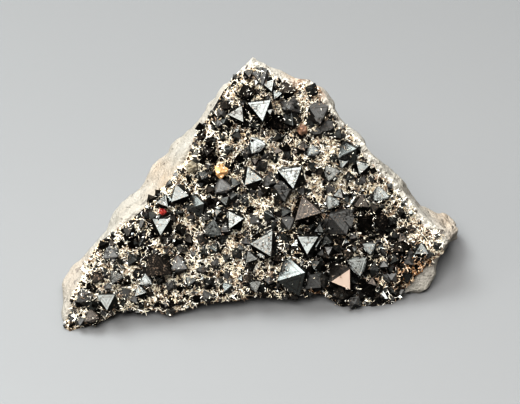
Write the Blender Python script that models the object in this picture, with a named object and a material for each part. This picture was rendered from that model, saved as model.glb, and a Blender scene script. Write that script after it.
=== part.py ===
"""Magnetite in matrix.

A wedge of pale volcanic tuff stands on its own flat broken base.  One crust of
intergrown magnetite octahedra covers its sloping front face, and four small grains
of other minerals sit in pockets of that crust.

Every mesh is drawn in the frame of the front face, in metres: x is u, across the
face to the right, y is v, up its slope, and z is h, the height out of it.  The crust
meets the rock at h = 0, and v = 0 is the table where h = 0.  The parent empty leans
and turns that frame into place.
"""
import math
import random

import bmesh
import bpy
from mathutils import Euler, Matrix, Vector, noise

MM = 0.001
SEED = 11
GAP = 0.3 * MM  # between the crust and what it touches
SLIVER = 0.05 * MM  # the width up to which a cut's slivers are closed up
ON_PLANE = 0.0001 * MM  # how near to a cutting plane a point counts as on it

# Where the front face stands.
FACE_LEAN = math.radians(30)
FACE_YAW = math.radians(6.5)
FACE_ORIGIN = (0.37 * MM, -12.71 * MM, 0.0)  # puts the world origin under the middle of the box

# The rock, as outlines at a few depths behind its face.
OUTLINE_STEPS = (16, 18, 8, 14)  # points on its left, base, corner and right runs
ROCK_FRONT = 1.5 * MM  # drawn past the face, then cut back to it
BACK_DISTANCE = 29.0 * MM  # of the rough back from the front edge of the base
BACK_NORMAL = (0.06, 1.0, 0.10)
ROCK_CELL = 1.8 * MM
ROCK_ROUGHNESS = 0.55 * MM
ROCK_WAVE = 4.0 * MM
ROCK_LEDGE = 1.5 * MM

# The noise on rock and crust: how strong and how many times as fine its second size
# is, and how much coarser, in how many steps, its ledges run.
FINE_SHARE = 0.5
FINE_FACTOR = 2.3
LEDGE_FACTOR = 0.45
LEDGE_SHIFT = Vector((7.0, 3.0, 1.0))
LEDGE_STEPS = 3

# The crust and its crystals.
CRUST_TOP = 1.25 * MM
CRUST_CELL = 2.2 * MM
CRUST_ROUGHNESS = 0.45 * MM
CRUST_WAVE = 3.0 * MM
CRUST_REACH = 60 * MM  # how far out of the face its crystals may stand
CRUST_GROWTH = 0.25 * MM  # outwards, to make up for the rounded rim
LIFT = {"tip": 0.08, "face": 0.28, "edge": 0.08}  # of a large crystal's middle, as a share of its edge
LARGE_STRETCH = (0.93, 1.07)
LARGE_ROOM = 0.62  # share of its edge that a large crystal keeps clear round its middle
SMALL_CRYSTALS = 95
SMALL_EDGES = (1.15 * MM, 1.8 * MM)
SMALL_SPACING = 1.7 * MM
SMALL_MARGIN = 1.1 * MM  # from their middles to the crust's rim
SMALL_LEAN = 30.0
SMALL_STRETCH = (0.9, 1.1)
SMALL_LIFT = 0.15

# Outlines of the rock in mm, from its apex round by the left foot, the right foot
# and the right corner back to the apex: (depth, left, base, corner, right).
ROCK_RINGS = (
    (0.0,
     ((0.5, 39.8), (-3.5, 36), (-6.5, 31.5), (-9.5, 27.5), (-12, 23), (-15.5, 20), (-18, 17),
      (-24.5, 12.5), (-27.3, 8), (-29.8, 4.5), (-30, 2.5), (-31.3, 0)),
     ((-31.2, -1.5), (-26, 0.5), (-20.5, 3.4), (-19, 2.5), (-14.5, 2.2), (-6, 3.6), (4, 3.6),
      (9, 3), (13.5, 0), (19, -1.5)),
     ((20, -1.5), (22, 0.8), (25.3, 0.6), (26.9, 2.5), (27.1, 6)),
     ((28.8, 9), (26.1, 11.8), (22.1, 17.2), (16.7, 24.5), (12, 29.7), (10.3, 34), (8.5, 35.2),
      (5, 35.9), (0.5, 39.8))),
    (3.5,
     ((1, 39.5), (-3.1, 35.3), (-6.1, 31.3), (-9.4, 27.2), (-12.3, 23.6), (-15.8, 20.2),
      (-19, 17.5), (-24.3, 12.7), (-27, 8.5), (-30.4, 5.5), (-30.9, 3), (-31.5, 1)),
     ((-31.5, -1), (-26, 1), (-20.5, 3.6), (-14.5, 3.8), (-6, 4.2), (4, 4.2), (9, 3.8), (13.5, 1),
      (19, 0)),
     ((21, 0), (25, 0.5), (27.6, 2.8), (29.2, 6.4)),
     ((31.6, 9.4), (27, 12.4), (22.2, 17.3), (16.2, 24.9), (12.1, 30), (10.8, 33.9), (8.2, 35.2),
      (5, 35.9), (1, 39.5))),
    (8.0,
     ((1.5, 39), (-2.4, 34.6), (-5.7, 31.3), (-9.5, 27.1), (-12.6, 23.9), (-16.1, 20.6),
      (-19.2, 17.6), (-23.5, 12.9), (-25.8, 9.7), (-28.7, 8), (-31, 6.6), (-31.1, 4.2)),
     ((-31, 2), (-20, 3.5), (-14, 3.8), (-6, 3.8), (4, 3.8), (13, 3), (20, 3)),
     ((23, 3), (27, 4.2), (29.8, 6.2), (32.6, 7)),
     ((34.6, 9.9), (28.7, 13), (22.5, 17.9), (15.8, 26), (12.3, 30.9), (11, 33.6),
      (8, 34.8), (5.2, 35.5), (1.5, 39))),
    (13.0,
     ((1.7, 38.6), (-1.9, 34.6), (-5.8, 31.3), (-9.6, 27), (-12.7, 23.8), (-16.7, 20.2),
      (-20.4, 16.1), (-22.8, 12.7), (-24.8, 10.2), (-27, 7.7), (-27.5, 6)),
     ((-27, 5), (-14, 5), (4, 5), (20, 5)),
     ((24, 5), (28, 5.5), (31, 6.5)),
     ((31.7, 9), (27.1, 12.5), (21.7, 17.7), (15, 26), (12, 30), (10.3, 32.5), (7.5, 34),
      (1.7, 38.6))),
    (20.0,
     ((2.5, 36), (-4, 30.5), (-10.7, 24.1), (-16.7, 18.2), (-20.6, 12.1), (-22, 7)),
     ((-21, 6), (4, 6), (18, 6)),
     ((23, 6), (26, 8)),
     ((27, 11), (20.5, 16.5), (13.5, 25), (9.5, 31), (2.5, 36))),
    (33.0,
     ((2.5, 32), (-5.5, 27), (-12, 20), (-15.5, 13)),
     ((-14, 8), (4, 8), (15, 8)),
     ((18, 9), (20, 12)),
     ((18, 17), (11, 24), (2.5, 32))),
)

# Outline of the crust in mm, from its apex round by the left foot.
CRUST_OUTLINE = (
    (0.4, 40), (-2.5, 37), (-4.5, 34.3), (-6.7, 31), (-9.3, 27.5), (-10.6, 24.6), (-13.3, 21.2),
    (-15.3, 20), (-16.8, 18), (-20, 15.5), (-24.7, 12.7), (-26.3, 10.5), (-27.5, 7.7), (-29.6, 4.6),
    (-29.4, 2.7), (-30.8, 0.6), (-30.8, -1.5), (-29, -1), (-26, 0), (-22.5, 1.7), (-20, 2.5),
    (-19.5, 1.6), (-14.5, 1.2), (-9.5, 2.1), (-6, 2.4), (4, 2.2), (9, 2), (13, -1.2), (20, -1.5),
    (21.5, 1.3), (24, 3.8), (26.6, 5.7), (28.8, 8.4), (28.8, 10.3), (25, 13), (22.4, 17.2),
    (18.6, 22.2), (15.7, 26.2), (12.3, 29.8), (11.1, 32.9), (8.8, 35.3), (4.8, 35.9), (2.4, 37.4),
)

# The large octahedra: u and v of the middle and the edge in mm; what points outwards,
# a tip, a face or an edge; then in degrees its turn about h, how far it leans and the
# direction that it leans to, measured from +u.
LARGE_CRYSTALS = (
    (1.5, 36.5, 2.5, "edge", 70, 14, 340), (2.5, 35, 2.0, "face", 60, 22, 118),
    (3.5, 33.5, 1.6, "face", 20, 22, 110), (5, 34, 2.5, "tip", 10, 12, 200),
    (1, 31.5, 3.7, "face", 50, 22, 115), (-2.5, 31, 2.6, "face", 75, 16, 120),
    (5.5, 31.5, 2.7, "tip", -30, 15, 200), (5.5, 29.5, 2.8, "tip", 0, 20, 270),
    (0, 29, 1.8, "edge", -35, 20, 265), (9.5, 30.5, 3.2, "face", 45, 10, 80),
    (3, 29.5, 2.6, "face", -15, 14, 250), (11, 28, 2.4, "tip", 20, 8, 300),
    (0, 26, 2.5, "face", 15, 22, 112), (8.5, 24.5, 2.1, "edge", 15, 10, 285),
    (14, 24, 3.4, "edge", 25, 16, 163), (13, 22.5, 1.8, "face", 30, 20, 110),
    (16, 21.5, 2.3, "edge", 40, 12, 305), (5, 21, 3.9, "face", 50, 22, 112),
    (3.5, 19, 3.1, "face", 45, 8, 60), (-1, 21, 3.0, "edge", 15, 12, 285),
    (1.5, 20.5, 2.0, "face", 0, 12, 60), (11, 21, 2.5, "face", 20, 20, 90),
    (-12, 19.5, 3.0, "face", 0, 22, 125), (-14.5, 18.5, 2.0, "face", 80, 20, 110),
    (-9.5, 17.5, 3.1, "edge", 15, 16, 155), (-5.5, 20, 2.6, "edge", 10, 12, 285),
    (-4, 15, 2.9, "face", 15, 20, 120), (-15, 15, 3.0, "face", 40, 23, 115),
    (-7.5, 13.5, 2.9, "edge", -10, 12, 265), (7, 15.5, 4.3, "edge", 12, 14, 282),
    (4, 14, 2.2, "face", 45, 12, 70), (11, 16.5, 2.3, "face", 15, 20, 115),
    (12, 13.5, 4.4, "edge", -52, 14, 200), (7, 10.5, 3.4, "face", 40, 23, 120),
    (0.5, 10.5, 4.1, "tip", 70, 28, 295), (-2, 9, 2.1, "face", 0, 12, 100),
    (4.4, 5.6, 4.8, "edge", 15, 16, 155), (11.8, 5, 4.1, "edge", 30, 20, 110),
    (14.5, 6.5, 3.1, "face", 50, 20, 110), (7.5, 4.5, 2.7, "edge", -50, 10, 30),
    (16.5, 9, 2.1, "face", 45, 22, 115), (-16, 9, 3.7, "face", -15, 6, 265),
    (-13, 8.5, 2.7, "edge", 0, 14, 265), (-19, 5, 2.1, "face", 0, 22, 112),
    (-18, 6.5, 1.9, "face", -15, 22, 112), (-24, 4, 3.0, "face", 45, 22, 115),
    (-27.5, 4.5, 2.4, "tip", 20, 12, 200), (-26.5, 1.5, 2.5, "edge", 10, 10, 230),
    (-23, 11, 2.4, "edge", 5, 12, 240), (18.5, 17, 2.4, "edge", 10, 14, 275),
    (15.5, 16, 2.4, "edge", -10, 14, 250), (18.5, 13, 2.4, "face", 60, 6, 200),
    (21.5, 8.5, 2.4, "tip", 10, 8, 260), (24.5, 8, 2.2, "face", -20, 20, 105),
    (12, 2, 2.6, "tip", 0, 14, 250), (-7.5, 25.5, 2.4, "tip", 30, 8, 230),
    (-1, 34, 2.3, "tip", 15, 14, 260), (-20, 14, 2.1, "tip", 60, 10, 200),
    (16, 2.5, 2.1, "face", 80, 10, 200), (-22.5, 7.5, 2.1, "face", 15, 16, 120),
    (16, 13, 2.4, "tip", 40, 20, 100), (-1.5, 4.5, 1.9, "face", 45, 15, 90),
)

# Grains of other minerals in the crust: place and size in mm, and colour.
GRAINS = {
    "amber_grain": ((-5.6, 22.6), 2.1, (0.62, 0.29, 0.09)),
    "red_grain": ((-14.7, 17.0), 1.2, (0.30, 0.020, 0.012)),
    "brown_grain": ((7.0, 28.0), 1.6, (0.33, 0.15, 0.075)),
    "olive_grain": ((-10.0, 23.6), 1.7, (0.20, 0.17, 0.09)),
}
GRAIN_HEIGHT = 1.7 * MM  # of a grain's middle above h = 0
GRAIN_UNEVENNESS = 0.22
GRAIN_WAVE = 0.7  # of the uneven sides, as a share of the grain's size

# Colour, roughness and metallic of the materials.
MAGNETITE = ((0.055, 0.052, 0.058), 0.25, 0.6)
TUFF = ((0.60, 0.53, 0.44), 0.9, 0.0)
GRAIN_FINISH = (0.35, 0.0)

OUTWARD_AXIS = {
    "tip": Vector((0, 0, 1)),
    "face": Vector((1, 1, 1)).normalized(),
    "edge": Vector((1, 0, 1)).normalized(),
}
TABLE_NORMAL = Vector((0, math.cos(FACE_LEAN), math.sin(FACE_LEAN)))  # in the face's frame


def clear_scene():
    for obj in list(bpy.data.objects):
        bpy.data.objects.remove(obj, do_unlink=True)


def make_material(name, colour, roughness, metallic):
    material = bpy.data.materials.new(name)
    material.use_nodes = True
    shader = material.node_tree.nodes["Principled BSDF"]
    shader.inputs["Base Color"].default_value = (*colour, 1.0)
    shader.inputs["Roughness"].default_value = roughness
    shader.inputs["Metallic"].default_value = metallic
    material.diffuse_color = (*colour, 1.0)
    return material


def add_object(name, bm, face, material=None):
    """Turn a bmesh drawn in the face's frame into an object on that face."""
    bmesh.ops.recalc_face_normals(bm, faces=bm.faces)
    mesh = bpy.data.meshes.new(name)
    bm.to_mesh(mesh)
    bm.free()
    obj = bpy.data.objects.new(name, mesh)
    obj.parent = face
    bpy.context.scene.collection.objects.link(obj)
    if material:
        mesh.materials.append(material)
    return obj


def as_guide(obj):
    """Mark an object that only shapes others."""
    obj.hide_render = True
    obj.display_type = "WIRE"
    return obj


def evaluated_bmesh(obj):
    """The object's mesh as its modifiers leave it."""
    bpy.context.view_layer.update()
    result = bmesh.new()
    result.from_object(obj, bpy.context.evaluated_depsgraph_get())
    return result


def points_along(run, steps):
    """Evenly spaced points in metres on an open line, without its last point."""
    points = [Vector(point) * MM for point in run]
    lengths = [(b - a).length for a, b in zip(points, points[1:])]
    spacing = sum(lengths) / steps
    found = []
    for step in range(steps):
        left = step * spacing
        for start, end, length in zip(points, points[1:], lengths):
            if left <= length:
                found.append(start.lerp(end, left / length))
                break
            left -= length
    return found


def ring_points(depth, *runs):
    """One closed outline of the rock, the end of each run carried on to the next."""
    starts = [run[0] for run in runs[1:]] + [runs[0][0]]
    outline = []
    for run, following, steps in zip(runs, starts, OUTLINE_STEPS):
        outline += points_along((*run, following) if run[-1] != following else run, steps)
    return [Vector((point.x, point.y, -depth * MM)) for point in outline]


def prism(rings):
    """A closed skin over rings of the same number of points, front ring first."""
    bm = bmesh.new()
    rows = [[bm.verts.new(point) for point in ring] for ring in rings]
    for near, far in zip(rows, rows[1:]):
        for i in range(len(near)):
            bm.faces.new((near[i - 1], near[i], far[i], far[i - 1]))
    bm.faces.new(rows[0])
    bm.faces.new(rows[-1])
    bmesh.ops.triangulate(bm, faces=bm.faces)
    return bm


def remeshed(name, bm, cell, face):
    """The same solid in even small faces, so that it can be roughened."""
    rough = add_object(name, bm, face)
    remesh = rough.modifiers.new("even faces", "REMESH")
    remesh.mode = "VOXEL"
    remesh.voxel_size = cell
    result = evaluated_bmesh(rough)
    bpy.data.objects.remove(rough, do_unlink=True)
    return result


def cut_off(bm, point, normal):
    """Slice away what lies past a plane and close the slice."""
    everything = bm.verts[:] + bm.edges[:] + bm.faces[:]
    bmesh.ops.bisect_plane(bm, geom=everything, plane_co=point, plane_no=normal,
                           dist=ON_PLANE, clear_outer=True)
    rim = [edge for edge in bm.edges if edge.is_boundary]
    bmesh.ops.triangle_fill(bm, edges=rim, use_beauty=True)


def roughen(bm, amount, wavelength, ledge=0.0, growth=0.0):
    """Push the surface in and out by noise in two sizes, and step it in broad ledges."""
    bm.normal_update()
    moves = []
    for vert in bm.verts:
        place = vert.co / wavelength
        push = growth + amount * (noise.noise(place) + FINE_SHARE * noise.noise(place * FINE_FACTOR))
        shelf = noise.noise(place * LEDGE_FACTOR + LEDGE_SHIFT)
        push += ledge * (math.floor(shelf * LEDGE_STEPS) + 0.5) / LEDGE_STEPS
        moves.append(vert.normal * push)
    for vert, move in zip(bm.verts, moves):
        vert.co += move


def drop_slivers(bm):
    """Merge points that almost touch, which cuts leave behind."""
    bmesh.ops.remove_doubles(bm, verts=bm.verts, dist=SLIVER)
    bmesh.ops.dissolve_degenerate(bm, edges=bm.edges, dist=SLIVER)
    bmesh.ops.triangulate(bm, faces=[face for face in bm.faces if len(face.verts) > 3])


def build_matrix(face):
    rings = [ring_points(*ring) for ring in ROCK_RINGS]
    front = [Vector((point.x, point.y, ROCK_FRONT)) for point in rings[0]]
    blank = prism([front, *rings])
    to_face = Euler((math.pi / 2 - FACE_LEAN, 0, FACE_YAW)).to_matrix().transposed()
    back = to_face @ Vector(BACK_NORMAL).normalized()
    cut_off(blank, back * BACK_DISTANCE, back)
    rock = remeshed("rock blank", blank, ROCK_CELL, face)
    roughen(rock, ROCK_ROUGHNESS, ROCK_WAVE, ROCK_LEDGE)
    cut_off(rock, Vector((0, 0, -GAP / 2)), Vector((0, 0, 1)))
    cut_off(rock, Vector(), -TABLE_NORMAL)
    drop_slivers(rock)
    return add_object("matrix", rock, face, make_material("tuff", *TUFF))


def crystal_turn(stance, turn, lean, toward):
    """Rotation that points a tip, face or edge of an octahedron outwards, leaning."""
    upright = OUTWARD_AXIS[stance].rotation_difference(Vector((0, 0, 1))).to_matrix()
    spin = Matrix.Rotation(math.radians(turn), 3, "Z")
    heading = math.radians(toward)
    across = Vector((-math.sin(heading), math.cos(heading), 0))
    return Matrix.Rotation(math.radians(lean), 3, across) @ spin @ upright


def add_octahedron(bm, centre, edge, turn, stretch):
    reach = edge / math.sqrt(2)
    tips = []
    for axis in range(3):
        for side in (1, -1):
            tip = Vector()
            tip[axis] = side * reach * stretch[axis]
            tips.append(bm.verts.new(centre + turn @ tip))
    for x in (0, 1):
        for y in (2, 3):
            for z in (4, 5):
                bm.faces.new((tips[x], tips[y], tips[z]))


def inside(point, outline):
    """Whether a point is within a closed outline, by counting the edges beside it."""
    crossed = False
    for a, b in zip(outline, outline[1:] + outline[:1]):
        if (a.y > point.y) != (b.y > point.y):
            if point.x < a.x + (point.y - a.y) / (b.y - a.y) * (b.x - a.x):
                crossed = not crossed
    return crossed


def small_crystal_places(outline, taken, rng):
    """Places for the small crystals, clear of the large ones, the grains and each other."""
    found = []
    rim_tests = [Vector(step) * SMALL_MARGIN for step in ((1, 0), (-1, 0), (0, 1), (0, -1))]
    across, up = ([point[axis] for point in outline] for axis in (0, 1))
    while len(found) < SMALL_CRYSTALS:
        place = Vector((rng.uniform(min(across), max(across)), rng.uniform(min(up), max(up))))
        if not all(inside(place + step, outline) for step in rim_tests):
            continue
        clear_of_large = all((place - spot).length > room for spot, room in taken)
        clear_of_small = all((place - spot).length > SMALL_SPACING for spot in found)
        if clear_of_large and clear_of_small:
            found.append(place)
    return found


def build_crystals(outline, face):
    """All octahedra that stand out of the crust, as one guide."""
    rng = random.Random(SEED)
    bm = bmesh.new()
    taken = [(Vector(place) * MM, size * MM) for place, size, _ in GRAINS.values()]
    for u, v, edge, stance, turn, lean, toward in LARGE_CRYSTALS:
        edge *= MM
        centre = Vector((u * MM, v * MM, CRUST_TOP + LIFT[stance] * edge))
        stretch = [rng.uniform(*LARGE_STRETCH) for _ in range(3)]
        add_octahedron(bm, centre, edge, crystal_turn(stance, turn, lean, toward), stretch)
        taken.append((centre.to_2d(), LARGE_ROOM * edge))
    for place in small_crystal_places(outline, taken, rng):
        edge = rng.uniform(*SMALL_EDGES)
        stance = rng.choice(("tip", "face", "edge"))
        turn = crystal_turn(stance, rng.uniform(0, 360), rng.uniform(0, SMALL_LEAN), rng.uniform(0, 360))
        stretch = [rng.uniform(*SMALL_STRETCH) for _ in range(3)]
        centre = place.to_3d() + Vector((0, 0, CRUST_TOP + SMALL_LIFT * edge))
        add_octahedron(bm, centre, edge, turn, stretch)
    return as_guide(add_object("crystal guide", bm, face))


def grain_bmesh(place, size, seed):
    """A small lump with rounded, uneven sides."""
    bm = bmesh.new()
    bmesh.ops.create_icosphere(bm, subdivisions=2, radius=size / 2)
    for vert in bm.verts:
        swell = noise.noise(vert.co / (GRAIN_WAVE * size) + Vector((seed, 0, 0)))
        vert.co *= 1 + GRAIN_UNEVENNESS * swell
        vert.co += Vector((place[0], place[1], GRAIN_HEIGHT))
    return bm


def build_grains(face):
    for seed, (name, (place, size, colour)) in enumerate(GRAINS.items()):
        place = Vector(place) * MM
        material = make_material(name.replace("_", " "), colour, *GRAIN_FINISH)
        add_object(name, grain_bmesh(place, size * MM, seed), face, material)
        as_guide(add_object(name + " pocket", grain_bmesh(place, size * MM + 2 * GAP, seed), face))


def keep_largest_body(bm):
    """Drop the tiny closed hollows that a union of many solids can leave."""
    bodies = []
    unseen = set(bm.verts)
    while unseen:
        body = {unseen.pop()}
        edge_of_body = list(body)
        while edge_of_body:
            vert = edge_of_body.pop()
            for edge in vert.link_edges:
                other = edge.other_vert(vert)
                if other in unseen:
                    unseen.remove(other)
                    body.add(other)
                    edge_of_body.append(other)
        bodies.append(body)
    largest = max(bodies, key=len)
    bmesh.ops.delete(bm, geom=[vert for vert in bm.verts if vert not in largest], context="VERTS")


def combine(target, operation, guide, self_overlap=False):
    boolean = target.modifiers.new(guide.name, "BOOLEAN")
    boolean.operation = operation
    boolean.object = guide
    boolean.use_self = self_overlap


def build_room_for_crust(face):
    """The space in front of the rock and above the table, as a guide for cutting."""
    reach = CRUST_REACH
    front = GAP / 2
    v_at_table = -front * math.tan(FACE_LEAN)
    corners = [(v_at_table, front), (reach, front), (reach, reach),
               (-reach * math.tan(FACE_LEAN), reach)]
    bm = bmesh.new()
    left, right = ([bm.verts.new((u, v, h)) for v, h in corners] for u in (-reach, reach))
    bm.faces.new(left)
    bm.faces.new(right)
    for i in range(len(corners)):
        bm.faces.new((left[i - 1], left[i], right[i], right[i - 1]))
    return as_guide(add_object("room for the crust", bm, face))


def build_crust(face):
    outline = [Vector(point) * MM for point in CRUST_OUTLINE]
    rings = [[point.to_3d() + Vector((0, 0, h)) for point in outline] for h in (CRUST_TOP, -CRUST_TOP)]
    layer = remeshed("crust blank", prism(rings), CRUST_CELL, face)
    roughen(layer, CRUST_ROUGHNESS, CRUST_WAVE, growth=CRUST_GROWTH)
    blank = as_guide(add_object("crust with crystals", layer, face))
    combine(blank, "UNION", build_crystals(outline, face), self_overlap=True)
    combine(blank, "INTERSECT", build_room_for_crust(face))
    for name in GRAINS:
        combine(blank, "DIFFERENCE", bpy.data.objects[name + " pocket"])
    crust = evaluated_bmesh(blank)
    keep_largest_body(crust)
    return add_object("magnetite_crust", crust, face, make_material("magnetite", *MAGNETITE))


clear_scene()
face = bpy.data.objects.new("front face", None)
face.location = FACE_ORIGIN
face.rotation_euler = (math.pi / 2 - FACE_LEAN, 0, FACE_YAW)
bpy.context.scene.collection.objects.link(face)
build_matrix(face)
build_grains(face)
build_crust(face)
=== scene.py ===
import math
import random

import bpy
from mathutils import Euler, Matrix, Vector, noise
from mathutils.kdtree import KDTree


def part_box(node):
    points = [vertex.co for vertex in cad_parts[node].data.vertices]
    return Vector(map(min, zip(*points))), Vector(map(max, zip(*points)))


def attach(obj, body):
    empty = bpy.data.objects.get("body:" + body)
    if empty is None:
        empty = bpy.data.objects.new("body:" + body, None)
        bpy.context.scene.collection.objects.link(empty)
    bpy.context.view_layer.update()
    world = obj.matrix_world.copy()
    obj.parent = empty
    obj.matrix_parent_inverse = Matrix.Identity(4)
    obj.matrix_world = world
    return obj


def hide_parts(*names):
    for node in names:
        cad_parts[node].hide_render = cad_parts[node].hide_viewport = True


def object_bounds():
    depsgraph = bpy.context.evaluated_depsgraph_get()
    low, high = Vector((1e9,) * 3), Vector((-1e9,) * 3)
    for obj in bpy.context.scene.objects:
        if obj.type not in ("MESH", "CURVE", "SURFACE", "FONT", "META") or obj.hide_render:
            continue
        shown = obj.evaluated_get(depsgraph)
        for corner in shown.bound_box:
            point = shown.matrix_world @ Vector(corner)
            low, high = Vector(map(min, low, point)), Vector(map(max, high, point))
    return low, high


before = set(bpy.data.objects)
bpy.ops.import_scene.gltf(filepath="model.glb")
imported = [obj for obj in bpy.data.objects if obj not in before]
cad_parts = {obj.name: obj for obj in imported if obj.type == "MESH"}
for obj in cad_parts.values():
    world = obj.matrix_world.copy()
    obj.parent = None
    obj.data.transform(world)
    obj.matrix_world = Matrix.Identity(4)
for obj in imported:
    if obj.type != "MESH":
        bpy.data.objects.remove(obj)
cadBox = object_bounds()
print("frame loaded")

mm = 0.001
faceOrigin = Vector((0.37, -12.71, 0)) * mm    # same place and lean as the solids
faceLean = math.radians(30)
faceYaw = math.radians(6.5)
facePlace = (Matrix.Translation(faceOrigin)
             @ Euler((math.pi / 2 - faceLean, 0, faceYaw)).to_matrix().to_4x4())
faceNormal = (facePlace.to_3x3() @ Vector((0, 0, 1))).normalized()
foremost = cadBox[0][1]
roof = cadBox[1][2]
brightSide = Vector((0, -0.42, 0.91))    # facets turned this way show light; facets turned away from it get painted shade
hair = 0.001 * mm    # points nearer than this are one


class Wire:
    # one output of a node, so that node maths reads as an ordinary expression
    def __init__(self, tree, socket=None):
        self.tree = tree
        self.socket = socket

    def node(self, kind, settings=None, sockets=None, output=0):
        made = self.tree.nodes.new(kind)
        for name, value in (settings or {}).items():
            setattr(made, name, value)
        for name, value in (sockets or {}).items():
            if isinstance(value, Wire):
                self.tree.links.new(value.socket, made.inputs[name])
            else:
                made.inputs[name].default_value = value
        return Wire(self.tree, made.outputs[output] if len(made.outputs) else None)

    def out(self, name):
        return Wire(self.tree, self.socket.node.outputs[name])

    def __add__(self, other):
        return maths("ADD", self, other)

    def __radd__(self, other):
        return maths("ADD", other, self)

    def __sub__(self, other):
        return maths("SUBTRACT", self, other)

    def __rsub__(self, other):
        return maths("SUBTRACT", other, self)

    def __mul__(self, other):
        return maths("MULTIPLY", self, other)

    def __rmul__(self, other):
        return maths("MULTIPLY", other, self)

    def __pow__(self, other):
        return maths("POWER", self, other)

    def above(self, low, high):
        # 0 below low, 1 above high, smooth between
        return self.node("ShaderNodeMapRange", {"interpolation_type": "SMOOTHSTEP"},
                         {"Value": self, "From Min": low, "From Max": high})


def maths(operation, first, second=0.0):
    sheet = first if isinstance(first, Wire) else second
    return sheet.node("ShaderNodeMath", {"operation": operation}, {0: first, 1: second})


def vectors(sheet, operation, sockets, output=0):
    return sheet.node("ShaderNodeVectorMath", {"operation": operation}, sockets, output)


def mixColour(sheet, amount, first, second):
    first, second = (value if isinstance(value, Wire) else (*value, 1) for value in (first, second))
    return sheet.node("ShaderNodeMix", {"data_type": "RGBA"}, {0: amount, 6: first, 7: second},
                      output=2)


def layColours(sheet, colour, palette, *layers):
    # each layer covers the ones before it by its own amount
    for name, amount in layers:
        colour = mixColour(sheet, amount, colour, palette[name])
    return colour


def newMaterial(name):
    material = bpy.data.materials.new(name)
    material.use_nodes = True
    material.node_tree.nodes.clear()
    return material, Wire(material.node_tree)


def finishMaterial(sheet, sockets):
    shader = sheet.node("ShaderNodeBsdfPrincipled", None, sockets)
    sheet.node("ShaderNodeOutputMaterial", None, {"Surface": shader})


def placeOn(sheet):
    return sheet.node("ShaderNodeTexCoord", output="Object")


def valueOn(sheet, name):
    # what the mesh stores under this name
    return sheet.node("ShaderNodeAttribute", {"attribute_name": name}, output="Fac")


def noiseOn(sheet, place, scale, detail, rough=0.55, stretch=None):
    if stretch:
        place = sheet.node("ShaderNodeMapping", None, {"Vector": place, "Scale": stretch})
    return sheet.node("ShaderNodeTexNoise", None,
                      {"Vector": place, "Scale": scale, "Detail": detail, "Roughness": rough})


def lineNoise(sheet, along):
    # bands across the way that a value grows
    return sheet.node("ShaderNodeTexNoise", {"noise_dimensions": "1D"},
                      {"W": along, "Scale": 1.0, "Detail": 2.0})


def bumpOf(sheet, height, distance, strength):
    return sheet.node("ShaderNodeBump", None,
                      {"Height": height, "Distance": distance, "Strength": strength})


def clamp(value):
    return max(0.0, min(1.0, value))


def pickOnly(*objects):
    bpy.ops.object.select_all(action="DESELECT")
    for obj in objects:
        obj.select_set(True)
    bpy.context.view_layer.objects.active = objects[0]


def applyAll(obj):
    pickOnly(obj)
    for modifier in list(obj.modifiers):
        bpy.ops.object.modifier_apply(modifier=modifier.name)


def settle(obj):
    # the object to the origin, unturned, with its place in its mesh
    pickOnly(obj)
    bpy.ops.object.transform_apply(location=True, rotation=True, scale=True)


def addGlobe(segments, rings):
    bpy.ops.mesh.primitive_uv_sphere_add(segments=segments, ring_count=rings, radius=1)
    return bpy.context.object


def startEdit():
    bpy.ops.object.mode_set(mode="EDIT")
    bpy.ops.mesh.select_all(action="SELECT")


def finishEdit():
    bpy.ops.object.mode_set(mode="OBJECT")


def cutAtTable(obj):
    pickOnly(obj)
    startEdit()
    bpy.ops.mesh.bisect(plane_co=(0, 0, 20 * hair), plane_no=(0, 0, -1), use_fill=True,
                        clear_outer=True, threshold=hair)
    finishEdit()


def copyOf(source, name):
    twin = source.copy()
    twin.data = source.data.copy()
    twin.name = name
    bpy.context.collection.objects.link(twin)
    return twin


def keepInside(obj, low, high):
    for vert in obj.data.vertices:
        vert.co = Vector([min(max(value, a), b) for value, a, b in zip(vert.co, low, high)])


def dress(piece, node):
    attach(piece, "root")
    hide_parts(node)


def displace(obj, name, kind, size, strength, level, group=""):
    texture = bpy.data.textures.new(name, kind)
    texture.noise_scale = size
    push = obj.modifiers.new(name, "DISPLACE")
    push.texture = texture
    push.strength = strength
    push.mid_level = level
    push.vertex_group = group


def zoneAmount(place, zones):
    # how far listed soft spots (u, v, radius, amount) in mm reach this place
    return sum(amount * math.exp(-((place.x / mm - u) ** 2 + (place.y / mm - v) ** 2) / radius ** 2)
               for u, v, radius, amount in zones)


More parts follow.
